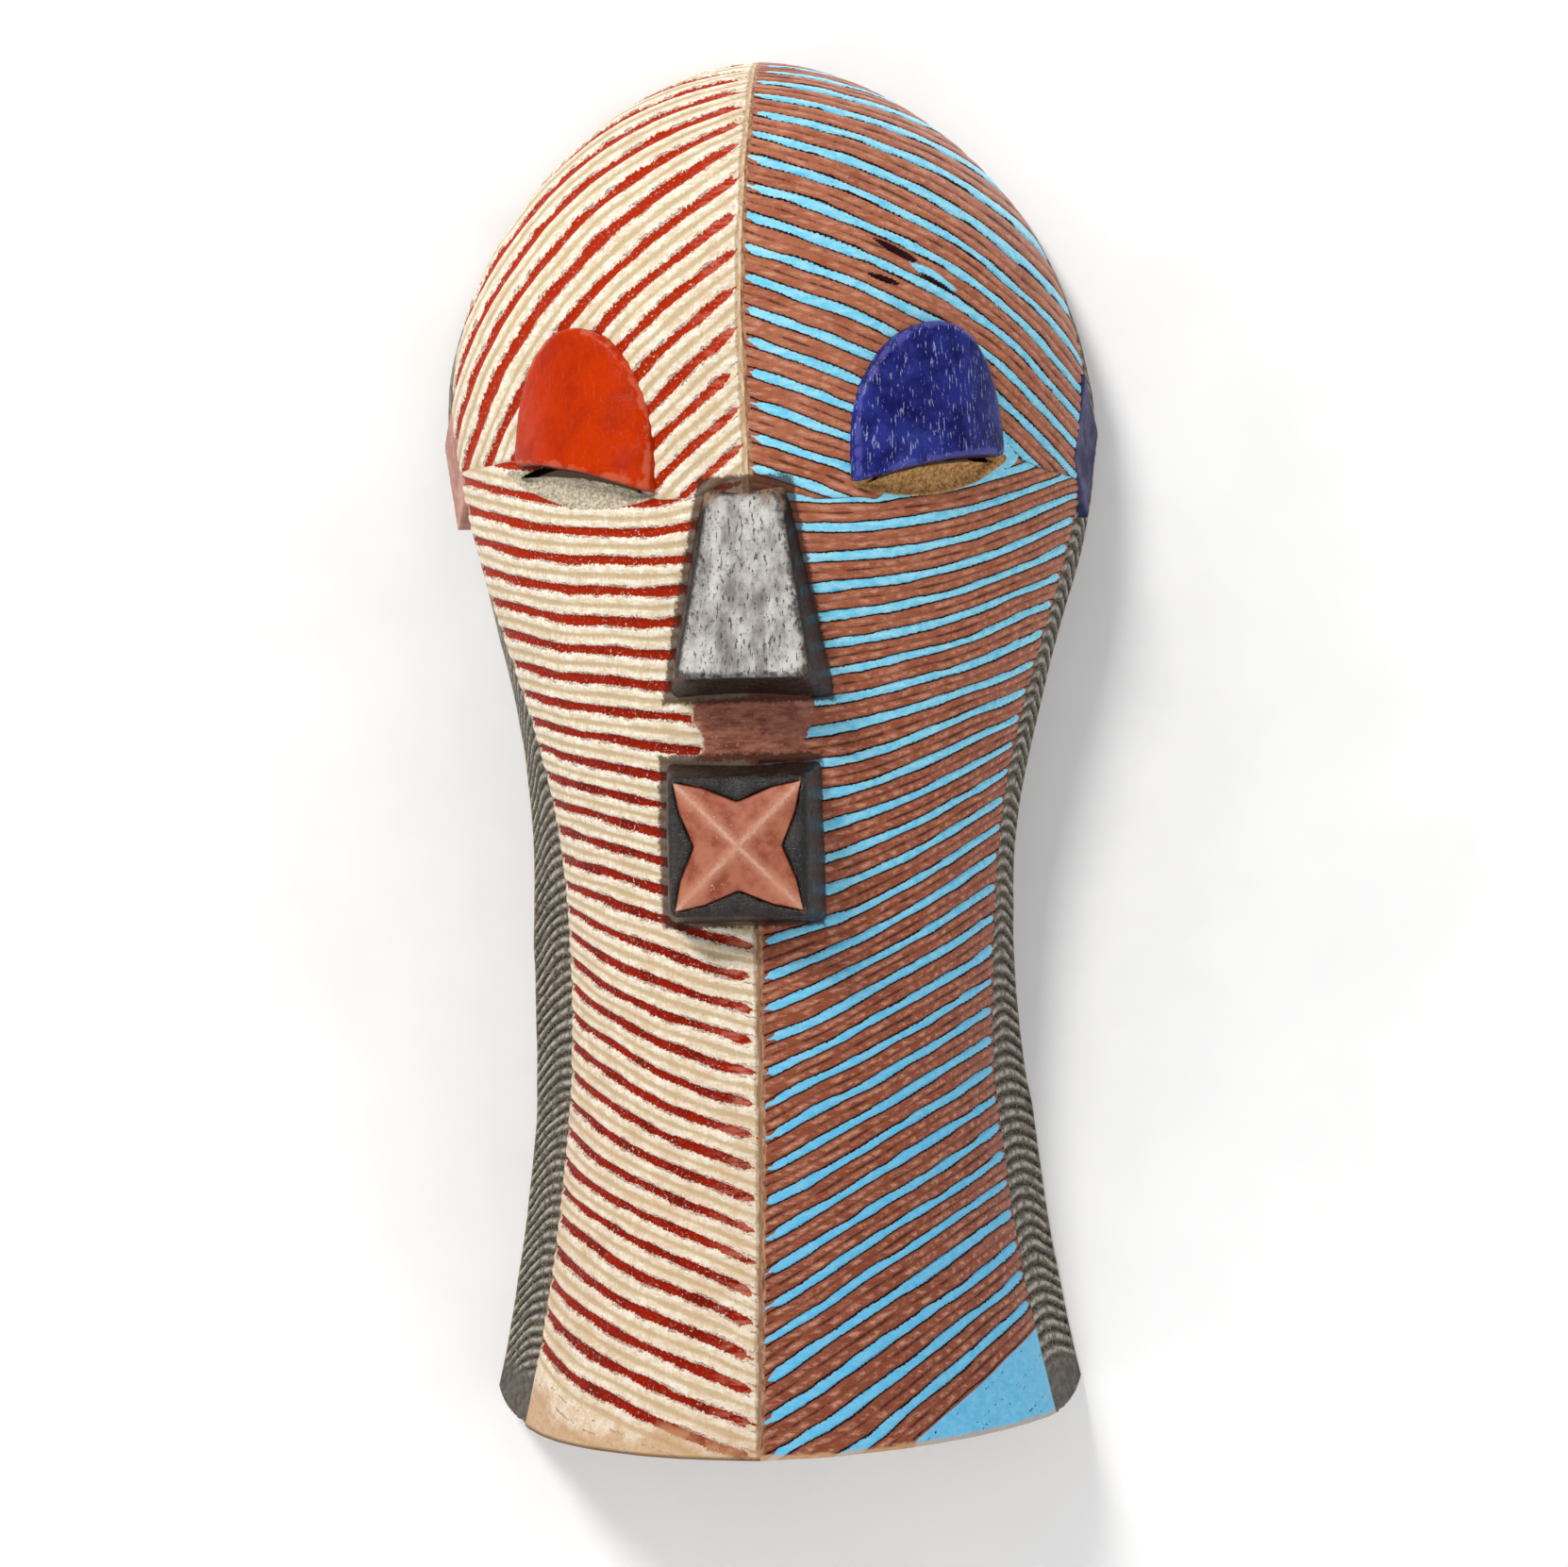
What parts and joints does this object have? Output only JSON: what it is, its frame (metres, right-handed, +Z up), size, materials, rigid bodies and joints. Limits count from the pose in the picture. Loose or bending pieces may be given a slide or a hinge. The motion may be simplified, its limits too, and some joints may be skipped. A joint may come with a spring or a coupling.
{
  "type": "carved wooden mask",
  "caption": "Wall-hung carved wooden mask: tall hollow striped face with a block nose, square star mouth, swollen eyelids over sight slits and ear plates.",
  "frame": {"origin": "hanging point: the middle notch of the sawtooth hanger, on the wall plane that the back rim rests on", "axes": "+X to the viewer's right, +Y into the wall (the face looks along -Y), +Z up along the mask's height"},
  "size_m": [0.2142, 0.1176, 0.44],
  "materials": {
    "painted_wood": "worn matte paint over carved ridges",
    "blackened_wood": "burnt and polished",
    "red_brown_wood": "worn matte paint",
    "orange_red_wood": "satin paint",
    "deep_blue_wood": "satin paint with open pores",
    "pink_wood": "worn matte paint",
    "slate_blue_wood": "worn matte paint",
    "bare_wood": "bare",
    "zinc_steel": "zinc plated"
  },
  "bodies": {
    "root": {"mask_shell": "painted_wood", "nose_block": "blackened_wood", "mouth_block": "blackened_wood", "mouth_star": "red_brown_wood", "left_eyelid": "orange_red_wood", "right_eyelid": "deep_blue_wood", "left_ear_plate": "pink_wood", "right_ear_plate": "slate_blue_wood", "nose_pegs": "bare_wood", "mouth_pegs": "bare_wood", "hanger_plate": "zinc_steel", "hanger_nails": "zinc_steel"}
  },
  "joints": []
}
